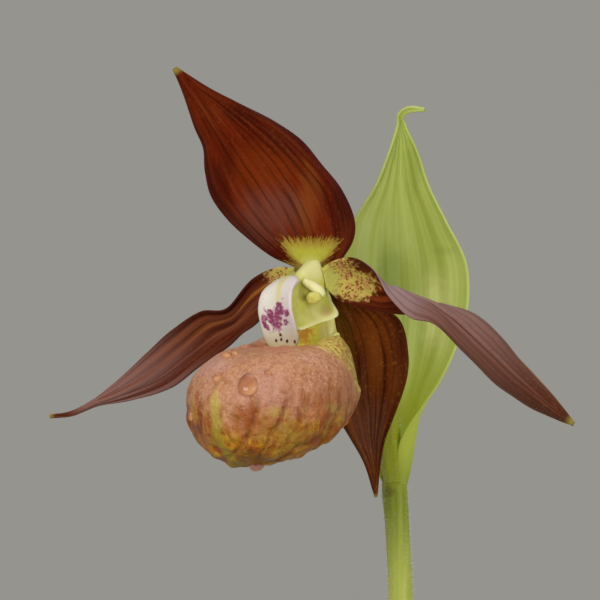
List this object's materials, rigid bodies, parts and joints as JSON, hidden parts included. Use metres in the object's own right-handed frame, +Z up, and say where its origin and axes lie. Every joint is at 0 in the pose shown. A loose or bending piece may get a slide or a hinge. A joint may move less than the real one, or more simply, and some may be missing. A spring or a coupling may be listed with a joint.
{
  "type": "potted ladys slipper orchid",
  "caption": "Lady's slipper orchid in a plain clay pot: a maroon slipper flower with a pouched lip and a leafy bract on an upright stem above pleated leaves.",
  "frame": {"origin": "centre of the pot's base, on the surface it stands on", "axes": "+Z up along the pot's axis and the stem; -Y is the side the flower is seen from, +X to the right of that view"},
  "size_m": [0.1863, 0.1397, 0.3685],
  "materials": {
    "clay": "matte",
    "soil": "matte",
    "leaf": "satin",
    "bract": "satin",
    "stem": "satin",
    "maroon": "satin",
    "pouch": "satin",
    "cream": "satin",
    "white": "satin",
    "water": "gloss"
  },
  "bodies": {
    "root": {"pot": "clay", "soil": "soil", "stem": "stem", "leaf_1": "leaf", "leaf_2": "leaf", "leaf_3": "leaf", "leaf_4": "leaf", "bract": "bract", "ovary": "stem", "column": "cream", "anther_left": "cream", "anther_right": "cream", "staminode": "white", "lip": "pouch", "petal_left": "maroon", "petal_right": "maroon", "dorsal_sepal": "maroon", "lower_sepal": "maroon"}
  },
  "joints": []
}
